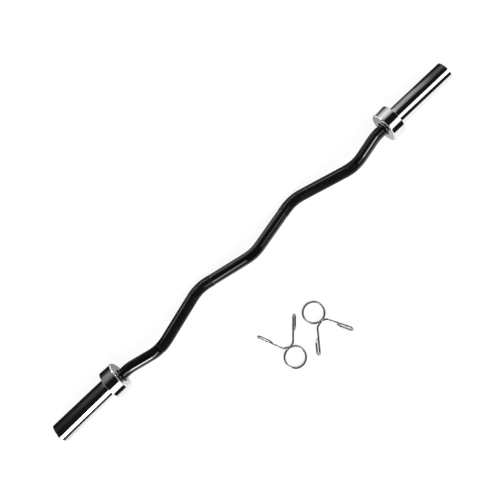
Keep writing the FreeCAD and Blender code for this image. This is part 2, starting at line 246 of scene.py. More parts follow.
# Shaded floor in front of the left sleeve: (distance in front of it, level) at the shade's outer end
PALE_FLOOR_LEVEL = 1.05
SHADE_INNER_X = -0.50
SHADE_OUTER_X = -0.66
SHADE_OUTER_LEVELS = [(0.02, 0.45), (0.06, 0.6), (0.11, PALE_FLOOR_LEVEL)]

# Softboxes as the bar shows them: (place along the bar, degrees from straight up at both edges, brightness)
SOFTBOX_REACH = 1.2
SOFTBOX_EDGE_LEVEL = 0.7
SOFTBOX_FADE_SHARE = 0.3
SOFTBOX_ROWS = {
    "left": [
        (-0.62, -16, -56, 2.6), (-0.80, -18, -57, 5), (-0.86, -22, -62, 6), (-1.09, -33, -68, 9),
        (-1.3, -32, -74, 20), (-1.7, -32, -74, 20),
    ],
    "right": [
        (0.62, -15, -48, 1.1), (0.80, -7, -41, 1.6), (1.09, -7, -41, 2.5),
        (1.3, -2, -38, 11), (1.7, -2, -38, 11),
    ],
}

# Soft reflector beyond the bar: (place along it, brightness, degrees from straight up, near edge's place)
REFLECTOR_REACH = 1.0
REFLECTOR_HALF_WIDTH_DEG = 40
REFLECTOR_ROWS = [
    (-0.70, 0.02, 60, 0.06), (-0.58, 0.03, 58, 0.06), (-0.50, 0.06, 60, 0.06), (-0.465, 0.06, 62, 0.06),
    (-0.452, 0.24, 66, 0.068), (-0.42, 0.26, 66, 0.068), (-0.39, 0.06, 70, 0.045), (-0.23, 0.06, 80, 0.045),
    (-0.19, 1.8, 88, 0.045), (0.19, 1.8, 88, 0.045), (0.25, 0.45, 85, 0.045), (0.41, 0.45, 85, 0.045),
    (0.425, 0.98, 76, 0.08), (0.455, 0.96, 76, 0.08), (0.465, 0.48, 77, 0.06), (0.52, 0.42, 76, 0.06),
    (0.58, 0.11, 68, 0.06), (0.70, 0.05, 62, 0.06),
]

# How the reflector fades across: (share of half its width, share of its brightness)
REFLECTOR_FADE_SHARES = [(1, 0), (0.5, 0.6), (0, 1), (-0.5, 0.7), (-1, 0)]

# Upright strips beyond the grips: places of both ends
STRIP_OUTER_END = (0.30, 0.225, 0.125)
STRIP_INNER_END = (0.17, 0.265, 0.075)
STRIP_HALF_HEIGHT = 0.035
STRIP_LEVEL = 10

# Narrow cards near the floor beyond the bar: (place along it, place across it)
RIM_CARD_PLACES = [(0.16, 0.27), (0.27, 0.19), (0.36, 0.12), (0.41, 0.078)]
RIM_CARD_HALF_WIDTH = 0.03
RIM_CARD_LIFT = 0.01
RIM_CARD_LEVEL = 0.9

# Cards on the floor inside the collars, a painted shade that their inner faces reflect: (place across the
# bar, level) from front to back
FOOT_CARD_LENGTH = 0.05
FOOT_CARD_LIFT = 0.0004
FOOT_SHADE_LEVELS = {
    "left": [(-0.03, 0.9), (0.0, 0.38), (0.062, 0.2), (0.08, 0.7), (0.14, 0.7)],
    "right": [(-0.045, 0.65), (-0.01, 0.42), (0.062, 0.3), (0.08, 0.7), (0.14, 0.7)],
}

X_AXIS = Vector((1, 0, 0))
Z_AXIS = Vector((0, 0, 1))
SIDES = {"left": -1, "right": 1}

floor_z = cad_box[0].z
collar_face_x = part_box("right_plate_collar")[0].x
collar_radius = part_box("right_plate_collar")[1].z
knurl_radius = SHAFT_RADIUS + KNURL_RISE
coil_climb = COIL_FULL_TURNS * (2 * WIRE_RADIUS + COIL_TURN_GAP)
coil_sweep_deg = COIL_FULL_TURNS * 360 - 2 * COIL_EXIT_DEG


# Mesh building

def make_piece(name, vertices, faces, smooth):
    mesh = bpy.data.meshes.new(name)
    mesh.from_pydata([tuple(v) for v in vertices], [], faces)
    mesh.polygons.foreach_set("use_smooth", smooth)
    mesh.update()
    piece = bpy.data.objects.new(name, mesh)
    bpy.context.scene.collection.objects.link(piece)
    return piece


def line_run(start, end):
    """A straight run: its length, and where a point at some distance along it is."""
    way = (end - start).normalized()
    return (end - start).length, lambda distance: start + way * distance


def arc_run(centre, axis, start, turn):
    """A round run: its length, and where a point at some distance along it is."""
    arm = start - centre
    return arm.length * turn, lambda distance: centre + Matrix.Rotation(distance / arm.length, 3, axis) @ arm


def bent_line(corners, bend_radii):
    """Straight runs between corners, with an arc of its own radius at each inner corner."""
    runs = []
    start = corners[0]
    for before, corner, after, radius in zip(corners, corners[1:], corners[2:], bend_radii):
        come = (corner - before).normalized()
        leave = (after - corner).normalized()
        turn = come.angle(leave)
        setback = radius * math.tan(turn / 2)
        bend_start = corner - come * setback
        axis = come.cross(leave).normalized()
        runs.append(line_run(start, bend_start))
        runs.append(arc_run(bend_start + axis.cross(come) * radius, axis, bend_start, turn))
        start = corner + leave * setback
    runs.append(line_run(start, corners[-1]))
    return runs


def place_on(runs, distance):
    """The point at some distance along a row of runs."""
    for length, place in runs[:-1]:
        if distance <= length:
            return place(distance)
        distance -= length
    return runs[-1][1](distance)


def run_length(runs):
    return sum(length for length, place in runs)


def spaced(start, end, step):
    """Evenly spaced distances from start to end, about a step apart."""
    return np.linspace(start, end, math.ceil((end - start) / step) + 1)


def carried_frames(points):
    """Two directions square to the line at each of its points, carried along without twist."""
    ways = [(b - a).normalized() for a, b in zip(points[:-1], points[1:])]
    ways = [ways[0]] + [(a + b).normalized() for a, b in zip(ways[:-1], ways[1:])] + [ways[-1]]
    side = ways[0].orthogonal().normalized()
    frames = []
    for way in ways:
        side = (side - way * side.dot(way)).normalized()
        frames.append((side, way.cross(side)))
    return frames


def tube_vertices(points, radius, sides):
    """A ring of vertices round a line at each of its points."""
    turns = [2 * math.pi * i / sides for i in range(sides)]
    vertices = []
    for point, (one, two) in zip(points, carried_frames(points)):
        vertices += [point + (one * math.cos(a) + two * math.sin(a)) * radius for a in turns]
    return vertices


def tube_quads(rows, sides):
    quads = []
    for here in range(0, (rows - 1) * sides, sides):
        there = here + sides
        for side in range(sides):
            after = (side + 1) % sides
            quads.append((here + side, here + after, there + after, there + side))
    return quads


def tube(name, points, radius, sides):
    """A smooth tube with flat ends, along a line of points."""
    rows = len(points)
    faces = tube_quads(rows, sides)
    smooth = [True] * len(faces) + [False, False]
    faces.append(tuple(reversed(range(sides))))
    faces.append(tuple(range((rows - 1) * sides, rows * sides)))
    return make_piece(name, tube_vertices(points, radius, sides), faces, smooth)


def softened(outline):
    """A closed outline with each corner off the axis rounded.

    Each rounding has a close neighbour on both sides, which keeps the flats beside it flat.
    """
    corners = [Vector(p) for p in outline]
    result = []
    for i, corner in enumerate(corners):
        if corner.y == 0:
            result.append(corner)
            continue
        back = corners[i - 1] - corner
        ahead = corners[(i + 1) % len(corners)] - corner
        reach = min(EDGE_RADIUS, back.length * EDGE_MOST_SHARE, ahead.length * EDGE_MOST_SHARE)
        start = corner + back.normalized() * reach
        end = corner + ahead.normalized() * reach
        result.append(corner + back.normalized() * reach * EDGE_NEIGHBOUR_SHARE)
        for step in range(EDGE_STEPS + 1):
            share = step / EDGE_STEPS
            result.append(start.lerp(corner, share).lerp(corner.lerp(end, share), share))
        result.append(corner + ahead.normalized() * reach * EDGE_NEIGHBOUR_SHARE)
    return result


def join_axis_points(mesh):
    """Joins the copies of each point on the axis, so that the faces there are plain triangles."""
    work = bmesh.new()
    work.from_mesh(mesh)
    on_axis = [v for v in work.verts if v.co.y == 0 and v.co.z == 0]
    bmesh.ops.remove_doubles(work, verts=on_axis, dist=SAME_POINT)
    work.to_mesh(mesh)
    work.free()


def lathe(name, outline):
    """A solid turned about the sleeve axis, from a closed outline of (x, radius) points."""
    ring = softened(outline)
    count = len(ring)
    turns = [2 * math.pi * i / LATHE_SEGMENTS for i in range(LATHE_SEGMENTS)]
    vertices = [(p.x, p.y * math.cos(a), p.y * math.sin(a)) for a in turns for p in ring]
    faces = []
    for segment in range(LATHE_SEGMENTS):
        here = segment * count
        there = (segment + 1) % LATHE_SEGMENTS * count
        for i in range(count):
            after = (i + 1) % count
            faces.append((here + i, here + after, there + after, there + i))
    piece = make_piece(name, vertices, faces, [True] * len(faces))
    join_axis_points(piece.data)
    return piece


def on_side(piece, side):
    """The right end's piece as it is, or turned half round to the left end."""
    if side == "left":
        piece.data.transform(Matrix.Rotation(math.pi, 4, "Z"))
    return piece


# Materials

def new_material(name, metallic=0):
    """A new material with its nodes, its links and its shader."""
    material = bpy.data.materials.new(name)
    material.use_nodes = True
    nodes = material.node_tree.nodes
    shader = nodes["Principled BSDF"]
    shader.inputs["Metallic"].default_value = metallic
    return material, nodes, material.node_tree.links, shader


def object_place(nodes, links, scale):
    """Object coordinates stretched by a scale for each axis."""
    place = nodes.new("ShaderNodeTexCoord")
    stretch = nodes.new("ShaderNodeMapping")
    stretch.inputs["Scale"].default_value = scale
    links.new(place.outputs["Object"], stretch.inputs["Vector"])
    return stretch.outputs["Vector"]


def noise(nodes, links, scale, detail):
    texture = nodes.new("ShaderNodeTexNoise")
    texture.inputs["Scale"].default_value = 1
    texture.inputs["Detail"].default_value = detail
    links.new(object_place(nodes, links, scale), texture.inputs["Vector"])
    return texture.outputs["Fac"]


def ranged(nodes, links, value, low, high):
    """A texture's middle range spread from low to high."""
    spread = nodes.new("ShaderNodeMapRange")
    spread.inputs["From Min"].default_value = NOISE_LOW
    spread.inputs["From Max"].default_value = NOISE_HIGH
    spread.inputs["To Min"].default_value = low
    spread.inputs["To Max"].default_value = high
    links.new(value, spread.inputs["Value"])
    return spread.outputs["Result"]


def shade_between(nodes, links, factor, dark, light):
    mix = nodes.new("ShaderNodeMix")
    mix.data_type = "RGBA"
    mix.inputs["A"].default_value = (*dark, 1)
    mix.inputs["B"].default_value = (*light, 1)
    links.new(factor, mix.inputs["Factor"])
    return mix.outputs["Result"]


def bump(nodes, links, shader, height, distance):
    relief = nodes.new("ShaderNodeBump")
    relief.inputs["Distance"].default_value = distance
    links.new(height, relief.inputs["Height"])
    links.new(relief.outputs["Normal"], shader.inputs["Normal"])


def polished_chrome(name):
    """Mirror chrome with faint polishing lines round it and soft smears."""
    material, nodes, links, shader = new_material(name, metallic=1)
    smears = noise(nodes, links, *CHROME_SMEARS)
    lines = noise(nodes, links, *CHROME_LINES)
    links.new(shade_between(nodes, links, smears, *CHROME_SHADES), shader.inputs["Base Color"])
    links.new(ranged(nodes, links, smears, *CHROME_ROUGHNESS), shader.inputs["Roughness"])
    bump(nodes, links, shader, lines, CHROME_LINE_DEPTH)
    return material


def drawn_steel():
    """Satin drawn spring wire, a little lighter and rougher in patches."""
    material, nodes, links, shader = new_material("clip_steel", metallic=1)
    patches = noise(nodes, links, *WIRE_PATCHES)
    grain = noise(nodes, links, *WIRE_GRAIN)
    links.new(shade_between(nodes, links, patches, *WIRE_SHADES), shader.inputs["Base Color"])
    links.new(ranged(nodes, links, patches, *WIRE_ROUGHNESS), shader.inputs["Roughness"])
    bump(nodes, links, shader, grain, WIRE_GRAIN_DEPTH)
    return material


def gloss_black():
    """Smooth black coat with a faint ripple."""
    material, nodes, links, shader = new_material("gloss_black")
    shader.inputs["IOR"].default_value = COAT_IOR
    smears = noise(nodes, links, *COAT_SMEARS)
    ripple = noise(nodes, links, *COAT_RIPPLE)
    links.new(shade_between(nodes, links, smears, *COAT_SHADES), shader.inputs["Base Color"])
    links.new(ranged(nodes, links, smears, *COAT_ROUGHNESS), shader.inputs["Roughness"])
    bump(nodes, links, shader, ripple, COAT_RIPPLE_DEPTH)
    return material


def knurled_black():
    """Duller black in the grooves, with the points rubbed a little lighter."""
    material, nodes, links, shader = new_material("knurled_black")
    attribute = nodes.new("ShaderNodeAttribute")
    attribute.attribute_name = "point_height"
    height = attribute.outputs["Fac"]
    grain = noise(nodes, links, *GRIP_GRAIN)
    links.new(shade_between(nodes, links, height, *GRIP_SHADES), shader.inputs["Base Color"])
    links.new(ranged(nodes, links, height, *GRIP_GLOSS), shader.inputs["Specular IOR Level"])
    links.new(ranged(nodes, links, grain, *GRIP_ROUGHNESS), shader.inputs["Roughness"])
    bump(nodes, links, shader, grain, GRIP_GRAIN_DEPTH)
    return material


def seal_rubber():
    material, nodes, links, shader = new_material("seal_rubber")
    grain = noise(nodes, links, *RUBBER_GRAIN)
    links.new(shade_between(nodes, links, grain, *RUBBER_SHADES), shader.inputs["Base Color"])
    links.new(ranged(nodes, links, grain, *RUBBER_ROUGHNESS), shader.inputs["Roughness"])
    bump(nodes, links, shader, grain, RUBBER_GRAIN_DEPTH)
    return material


def turned_metal(name):
    """Machined metal with fine tool lines round the sleeve axis."""
    dark, light, smooth = TURNED_METALS[name]
    material, nodes, links, shader = new_material(name, metallic=1)
    lines = noise(nodes, links, *TURNED_LINES)
    stains = noise(nodes, links, *TURNED_STAINS)
    links.new(shade_between(nodes, links, stains, dark, light), shader.inputs["Base Color"])
    roughness = ranged(nodes, links, stains, smooth, smooth + TURNED_ROUGHNESS_RANGE)
    links.new(roughness, shader.inputs["Roughness"])
    bump(nodes, links, shader, lines, TURNED_LINE_DEPTH)
    return material


# Shaft

def lean_direction():
    """The inner bends lean down until they touch the floor that the collars stand on."""
    rise = math.atan2(INNER_BEND_OFFSET + OUTER_BEND_OFFSET, GRIP_SPAN)
    fall = math.atan2(INNER_BEND_OFFSET + MIDDLE_BEND_OFFSET, MIDDLE_SPAN)
    crown_loss = BEND_RADIUS * (math.cos((rise - fall) / 2) / math.cos((rise + fall) / 2) - 1)
    drop_share = (collar_radius - knurl_radius) / (INNER_BEND_OFFSET - crown_loss)
    return Vector((0, math.sqrt(1 - drop_share ** 2), -drop_share))


def shaft_runs():
    lean = lean_direction()
    outer_x = MIDDLE_SPAN + GRIP_SPAN
    half = [(outer_x + OUTER_SPAN, 0), (outer_x, -OUTER_BEND_OFFSET), (MIDDLE_SPAN, INNER_BEND_OFFSET)]
    right = [X_AXIS * x + lean * offset for x, offset in half]
    left = [X_AXIS * -x + lean * offset for x, offset in half]
    corners = [X_AXIS * -SHOULDER_X, *left, lean * -MIDDLE_BEND_OFFSET, *right[::-1], X_AXIS * SHOULDER_X]
    return bent_line(corners, [BEND_RADIUS] * (len(corners) - 2))


def grip_span(runs):
    """Where the left grip starts and ends along the shaft.

    It runs from the crown of the outer bend, round the inner bend and a little way past it.
    """
    lengths = [length for length, place in runs]
    start = sum(lengths[:OUTER_BEND_RUN]) + lengths[OUTER_BEND_RUN] / 2
    setback = BEND_RADIUS * math.tan(lengths[INNER_BEND_RUN] / BEND_RADIUS / 2)
    return start, sum(lengths[:INNER_BEND_RUN + 1]) + KNURL_PAST_INNER_BEND - setback


def smooth_stretch(name, runs, start, end):
    points = [place_on(runs, distance) for distance in spaced(start, end, SHAFT_STEP)]
    return tube(name, points, SHAFT_RADIUS, SHAFT_SIDES)


def knurl_ring(runs, start, end, distance, first_turn, height):
    """A vertex for each point of the knurl round the shaft, from some share of a point onwards.

    The height above the smooth shaft runs out under its surface at both ends of the grip.
    """
    here = place_on(runs, distance)
    ahead = place_on(runs, distance + KNURL_WAY_STEP)
    behind = place_on(runs, distance - KNURL_WAY_STEP)
    way = (ahead - behind).normalized()
    up = X_AXIS.cross(lean_direction())
    side = up.cross(way)
    full_share = min(1, (distance - start) / KNURL_RUN_OUT, (end - distance) / KNURL_RUN_OUT)
    radius = SHAFT_RADIUS - KNURL_SINK + (height + KNURL_SINK) * full_share
    turns = [2 * math.pi * (i + first_turn) / KNURL_POINTS_AROUND for i in range(KNURL_POINTS_AROUND)]
    return [here + (up * math.cos(a) + side * math.sin(a)) * radius for a in turns]


def knurl_vertices(runs, start, end, rows):
    """A ring in the grooves beside each row of points, then a ring for each corner of the points' tops."""
    step = (end - start) / rows
    vertices = []
    for row in range(rows + 1):
        groove_turn = row % 2 / 2 + 1 / 2
        vertices += knurl_ring(runs, start, end, start + row * step, groove_turn, KNURL_RISE - KNURL_DEPTH)
    for row in range(1, rows):
        for along, around in KNURL_TOP_CORNERS:
            distance = start + (row + along * KNURL_FLAT_SHARE) * step
            top_turn = row % 2 / 2 + around * KNURL_FLAT_SHARE / 2
            vertices += knurl_ring(runs, start, end, distance, top_turn, KNURL_RISE)
    return vertices


def knurl_faces(rows):
    """The flat top and the sloping sides of each point."""
    count = KNURL_POINTS_AROUND
    corners = len(KNURL_TOP_CORNERS)
    faces = []
    for row in range(1, rows):
        here = row * count
        first_top = (rows + 1 + corners * (row - 1)) * count
        for i in range(count):
            before = (i - 1) % count
            across = (i - 1 + row % 2) % count
            groove = [here - count + across, here + before, here + count + across, here + i]
            top = [first_top + corner * count + i for corner in range(corners)]
            faces.append(tuple(top))
            for corner in range(corners):
                after = (corner + 1) % corners
                faces.append((groove[corner], groove[after], top[after], top[corner]))
    return faces


def knurled_grip(name, runs, start, end):
    """Diamond points in staggered rows."""
    rows = 2 * round((end - start) / KNURL_POINT_LENGTH)
    vertices = knurl_vertices(runs, start, end, rows)
    faces = knurl_faces(rows)
    piece = make_piece(name, vertices, faces, [False] * len(faces))
    groove_vertices = (rows + 1) * KNURL_POINTS_AROUND
    heights = [0] * groove_vertices + [1] * (len(vertices) - groove_vertices)
    piece.data.attributes.new("point_height", "FLOAT", "POINT").data.foreach_set("value", heights)
    return piece


def journal():
    """The turned end of the shaft inside the sleeve, with the bolt's hole in its tip."""
    end_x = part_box("bent_shaft")[1].x
    hole_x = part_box("right_end_bolt")[0].x - BOLT_HOLE_GAP
    return lathe("journal", [
        (SHOULDER_X, 0), (hole_x, 0), (hole_x, BOLT_HOLE_RADIUS), (end_x, BOLT_HOLE_RADIUS),
        (end_x, JOURNAL_RADIUS - JOURNAL_CHAMFER), (end_x - JOURNAL_CHAMFER, JOURNAL_RADIUS),
        (SHOULDER_X, JOURNAL_RADIUS),
    ])


# Sleeves

def sleeve_tube():
    low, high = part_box("right_sleeve_tube")
    cap_low, cap_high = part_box("right_end_cap")
    ring_low, ring_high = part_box("right_snap_ring")
    seal_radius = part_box("right_dust_seal")[1].z
    collar_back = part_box("right_plate_collar")[1].x
    radius, mouth = high.z, cap_high.z
    groove = mouth + SNAP_GROOVE_DEPTH
    groove_start = ring_low.x - SNAP_GROOVE_GAP
    groove_end = ring_high.x + SNAP_GROOVE_GAP
    seat = radius - COLLAR_SEAT_STEP
    return lathe("sleeve_tube", [
        (low.x, seal_radius + MOUTH_CHAMFER), (low.x + MOUTH_CHAMFER, seal_radius),
        (cap_low.x, seal_radius), (cap_low.x, mouth), (groove_start, mouth), (groove_start, groove),
        (groove_end, groove), (groove_end, mouth),
        (high.x - MOUTH_CHAMFER, mouth), (high.x, mouth + MOUTH_CHAMFER),
        (high.x, radius - SLEEVE_CHAMFER), (high.x - SLEEVE_CHAMFER, radius),
        (collar_back, radius), (collar_back, seat), (low.x, seat),
    ])


def plate_collar():
    low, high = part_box("right_plate_collar")
    radius = high.z
    sleeve_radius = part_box("right_sleeve_tube")[1].z
    seat = sleeve_radius - COLLAR_SEAT_STEP
    return lathe("plate_collar", [
        (low.x, seat), (high.x - COLLAR_SEAT_STEP, seat), (high.x, sleeve_radius),
        (high.x, radius - COLLAR_BACK_CHAMFER), (high.x - COLLAR_BACK_CHAMFER, radius),
        (low.x + COLLAR_CHAMFER, radius), (low.x, radius - COLLAR_CHAMFER),
    ])


def dust_seal():
    """The rubber ring round the shaft, with a thin lip."""
    low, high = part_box("right_dust_seal")
    lip = SHAFT_RADIUS + SEAL_GAP
    outside = high.z - SEAL_CASE_WIDTH
    return lathe("dust_seal", [
        (low.x + SEAL_LIP, lip), (low.x + 2 * SEAL_LIP, lip), (high.x, lip + SEAL_LIP), (high.x, outside),
        (low.x, outside), (low.x, lip + SEAL_LIP),
    ])


def seal_case():
    """The steel ring that the rubber is moulded into, standing a little proud of the collar's face."""
    low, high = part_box("right_dust_seal")
    inside = high.z - SEAL_CASE_WIDTH
    front = low.x - SEAL_CASE_STAND
    return lathe("seal_case", [(front, inside), (high.x, inside), (high.x, high.z), (front, high.z)])


def end_cap():
    low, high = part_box("right_end_cap")
    rim = high.z - CAP_RIM_WIDTH
    well = high.x - CAP_RIM_HEIGHT
    return lathe("end_cap", [
        (low.x, 0), (well, 0), (well, rim - CAP_RIM_HEIGHT), (high.x, rim), (high.x, high.z), (low.x, high.z),
    ])


# Clips

def coil_place(share):
    """A point of the winding at a share of its length from the lower arm to the upper one.

    The winding climbs evenly between two short level stretches at its ends.
    """
    angle = -math.radians(COIL_EXIT_DEG + coil_sweep_deg * share)
    rise_share = min(max((share - COIL_LEVEL_SHARE) / (1 - 2 * COIL_LEVEL_SHARE), 0), 1)
    height = WIRE_RADIUS + coil_climb * rise_share
    return Vector((COIL_RADIUS * math.cos(angle), COIL_RADIUS * math.sin(angle), height))


def coil_end(hand):
    """Where the winding ends at an arm, and the way that the wire leaves it."""
    place = coil_place(0 if hand > 0 else 1)
    return place, Z_AXIS.cross(place).normalized() * hand


def clip_coil(name):
    lower, lower_way = coil_end(1)
    upper, upper_way = coil_end(-1)
    lead = 2 * WIRE_RADIUS
    length = COIL_RADIUS * math.radians(coil_sweep_deg)
    winding = [coil_place(distance / length) for distance in spaced(0, length, WIRE_STEP)]
    points = [lower + lower_way * lead, *winding, upper + upper_way * lead]
    return tube(name, points, WIRE_RADIUS, WIRE_SIDES)


def clip_arm(name, hand):
    """One arm from the end of the winding: across the other arm, out, and back in a closed finger loop."""
    root, way = coil_end(hand)
    corner = root + way * CLIP_CROSS_RUN
    tip_angle = math.radians(hand * CLIP_SPREAD_DEG / 2)
    reach = COIL_RADIUS + CLIP_ARM_REACH
    tip = Vector((reach * math.cos(tip_angle), reach * math.sin(tip_angle), root.z))
    out = (tip - corner).normalized()
    lean = math.radians(CLIP_LOOP_LEAN_DEG)
    across = out.cross(Z_AXIS) * math.sin(lean) + Z_AXIS * (hand * math.cos(lean))
    far = tip + across * CLIP_LOOP_WIDTH
    back = far - out * (CLIP_LOOP_LENGTH - CLIP_LOOP_END_RUN)
    tail = tip - out * CLIP_LOOP_LENGTH + across * (2 * WIRE_RADIUS + CLIP_LOOP_END_GAP)
    radii = [CLIP_ARM_BEND_RADIUS, CLIP_LOOP_WIDTH / 2, CLIP_LOOP_WIDTH / 2, CLIP_LOOP_END_BEND_RADIUS]
    runs = bent_line([root + way * 2 * WIRE_RADIUS, corner, tip, far, back, tail], radii)
    points = [place_on(runs, d) for d in spaced(0, run_length(runs), WIRE_STEP)]
    return tube(name, points, WIRE_RADIUS, WIRE_SIDES)


# Assembly

def ride_on(piece, body, material):
    piece.data.materials.append(material)
    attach(piece, body)


def build_shaft():
    runs = shaft_runs()
    total = run_length(runs)
    start, end = grip_span(runs)
    gloss = gloss_black()
    knurled = knurled_black()
    ground = turned_metal("journal_steel")
    under = KNURL_RUN_OUT
    middle = smooth_stretch("shaft_middle", runs, end - under, total - end + under)
    left = smooth_stretch("shaft_left", runs, 0, start + under)
    right = smooth_stretch("shaft_right", runs, total - start - under, total)
    left_grip = knurled_grip("grip_left", runs, start, end)
    right_grip = knurled_grip("grip_right", runs, total - end, total - start)
    for piece in (left, middle, right):
        ride_on(piece, "bar", gloss)
    for piece in (left_grip, right_grip):
        ride_on(piece, "bar", knurled)
    for side in SIDES:
        piece = on_side(journal(), side)
        piece.name = side + "_journal"
        ride_on(piece, "bar", ground)
    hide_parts("bent_shaft")


def build_sleeves():
    chrome = polished_chrome("sleeve_chrome")
    steel = turned_metal("case_steel")
    makers = {
        "sleeve_tube": (sleeve_tube, chrome, "sleeve_chrome"),
        "plate_collar": (plate_collar, chrome, "collar_chrome"),
        "dust_seal": (dust_seal, seal_rubber(), "seal_rubber"),
        "end_cap": (end_cap, chrome, "cap_chrome"),
    }
    for side in SIDES:
        for node, (maker, material, slot) in makers.items():
            piece = on_side(maker(), side)
            piece.name = side + "_" + node + "_look"
            ride_on(piece, side + "_sleeve", material)
            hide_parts(side + "_" + node)
        case = on_side(seal_case(), side)
        case.name = side + "_seal_case"
        ride_on(case, side + "_sleeve", steel)


def build_clips():
    steel = drawn_steel()
    centres = {joint["parent"]: joint["pos_m"] for joint in frame["joints"] if "squeeze" in joint["name"]}
    for clip, (x, y, z) in centres.items():
        base = Vector((x, y, floor_z))
        place = Matrix.Translation(base) @ Matrix.Rotation(math.radians(CLIP_TURN_DEG[clip]), 4, "Z")
        coil = clip_coil(clip + "_winding")
        lower = clip_arm(clip + "_lower_handle", 1)
        upper = clip_arm(clip + "_upper_handle", -1)
        for node, piece in (("coil", coil), ("lower_arm", lower), ("upper_arm", upper)):
            piece.data.transform(place)
            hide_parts(clip + "_" + node)
        ride_on(lower, clip, steel)
        ride_on(upper, clip + "_lever", steel)
        coil.data.materials.append(steel)
        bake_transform(coil)


def dress_hidden_nodes():
    """Better metals for the pieces inside the sleeves, which keep their solids' shapes."""
    metals = {
        "bush": turned_metal("bush_bronze"),
        "washer": turned_metal("washer_steel"),
        "bolt": turned_metal("bolt_steel"),
        "ring": turned_metal("ring_steel"),
    }
    for name, node in frame["nodes"].items():
        kind = name.split("_")[-1]
        if kind in metals:
            node.data.materials.clear()
            node.data.materials.append(metals[kind])


# Studio

def card_material():
    """Black, with a glow as strong as the level at each point."""
    material, nodes, links, shader = new_material("studio_card")
    shader.inputs["Base Color"].default_value = (0, 0, 0, 1)
    shader.inputs["Specular IOR Level"].default_value = 0
    shader.inputs["Emission Color"].default_value = (1, 1, 1, 1)
    level = nodes.new("ShaderNodeAttribute")
    level.attribute_name = "level"
    links.new(level.outputs["Fac"], shader.inputs["Emission Strength"])
    return material


def card(name, rows, material):
    """A sheet that only shows in reflections, from rows of corners with the level at each."""
    width = len(rows[0])
    corners = [corner for row in rows for corner, level in row]
    levels = [max(level, ROOM_LEVEL) for row in rows for corner, level in row]
    faces = []
    for first in range(0, len(corners) - width, width):
        faces += [(i, i + 1, i + 1 + width, i + width) for i in range(first, first + width - 1)]
    sheet = make_piece(name, corners, faces, [False] * len(faces))
    sheet.data.attributes.new("level", "FLOAT", "POINT").data.foreach_set("value", levels)
    sheet.data.materials.append(material)
    sheet.visible_camera = False
    sheet.visible_diffuse = False
    sheet.visible_shadow = False
    sheet.visible_transmission = False


def reflector_corner(along, degrees):
    """A far arc round the bar, which stops at the floor and fans out towards its ends."""
    angle = math.radians(degrees)
    reach = REFLECTOR_REACH
    if math.cos(angle) < 0:
        reach = min(reach, (floor_z + CARD_LIFT) / math.cos(angle))
    return along * (1 + reach / CAMERA_HEIGHT), reach * math.sin(angle), reach * math.cos(angle)


def add_reflector(material):
    rows = []
    for along, brightness, degrees, near_y in REFLECTOR_ROWS:
        row = [((along, near_y, floor_z + CARD_LIFT), 0)]
        for share, fade in REFLECTOR_FADE_SHARES:
            corner = reflector_corner(along, degrees + REFLECTOR_HALF_WIDTH_DEG * share)
            row.append((corner, brightness * fade))
        rows.append(row)
    card("card_reflector", rows, material)


def add_softboxes(material):
    """Graded softboxes in front of the bar, brighter along their middle and towards their outer ends."""
    fade = SOFTBOX_FADE_SHARE
    edge = SOFTBOX_EDGE_LEVEL
    for name, softbox_rows in SOFTBOX_ROWS.items():
        rows = []
        for x, upper, lower, brightness in softbox_rows:
            levels = ((0, edge), (fade, brightness), (1 - fade, brightness), (1, edge))
            row = []
            for share, level in levels:
                angle = math.radians(upper + (lower - upper) * share)
                row.append(((x, SOFTBOX_REACH * math.sin(angle), SOFTBOX_REACH * math.cos(angle)), level))
            rows.append(row)
        card("card_softbox_" + name, rows, material)


def add_grip_strips(material):
    """A narrow upright strip beyond each grip."""
    for name, way in SIDES.items():
        rows = []
        for x, y, z in (STRIP_INNER_END, STRIP_OUTER_END):
            heights = (z - STRIP_HALF_HEIGHT, z + STRIP_HALF_HEIGHT)
            rows.append([((way * x, y, height), STRIP_LEVEL) for height in heights])
        card("card_grip_" + name, rows, material)


def add_rim_cards(material):
    """Narrow cards near the floor beyond the bar, which light the front rims of the collars."""
    lift = floor_z + RIM_CARD_LIFT
    for name, way in SIDES.items():
        rows = []
        for x, y in RIM_CARD_PLACES:
            edges = (y - RIM_CARD_HALF_WIDTH, y + RIM_CARD_HALF_WIDTH)
            rows.append([((way * x, edge, lift), RIM_CARD_LEVEL) for edge in edges])
        card("card_rim_" + name, rows, material)


def add_foot_shade_cards(material):
    """Cards on the floor inside the collars, which their inner faces show: a painted shade, darker than the
    pale floor.
    """
    lift = floor_z + FOOT_CARD_LIFT
    for name, way in SIDES.items():
        inner = way * (collar_face_x - FOOT_CARD_LENGTH)
        outer = way * collar_face_x
        # The levels are painted shade: the floor under the collars, darker in the collars' reflections only
        rows = [[((inner, y, lift), level), ((outer, y, lift), level)] for y, level in FOOT_SHADE_LEVELS[name]]
        card("card_foot_shade_" + name, rows, material)


def add_dark_cards(material):
    """The dark room above the bar and in front of it, its walls, and its floor past the bar's left end."""
    bottoms = ((-CARD_REACH, FRONT_CARD_BOTTOM_LEFT), (CARD_REACH, FRONT_CARD_BOTTOM_RIGHT))
    front, back, top = CEILING_FRONT_Y, CEILING_BACK_Y, CEILING_HEIGHT
    rows = [[((x, front, bottom), 0), ((x, front, top), 0), ((x, back, top), 0)] for x, bottom in bottoms]
    card("card_above", rows, material)
    for name, way in SIDES.items():
        x = way * CARD_REACH
        rows = [[((x, y, END_CARD_BOTTOM), END_CARD_BOTTOM_LEVEL), ((x, y, top), 0)] for y in (front, back)]
        card("card_end_" + name, rows, material)
    lift = floor_z + CARD_LIFT
    rows = [[((x, y, lift), 0) for y in (front, 0)] for x in (-CARD_REACH, PALE_FLOOR_END_X)]
    card("card_past_left_end", rows, material)


def add_shade_card(material):
    """A soft shade on the floor in front of the left sleeve, darker towards the sleeve's end."""
    lift = floor_z + CARD_LIFT
    inner = [((SHADE_INNER_X, -distance, lift), PALE_FLOOR_LEVEL) for distance, level in SHADE_OUTER_LEVELS]
    outer = [((SHADE_OUTER_X, -distance, lift), level) for distance, level in SHADE_OUTER_LEVELS]
    card("card_shade_left", [inner, outer], material)


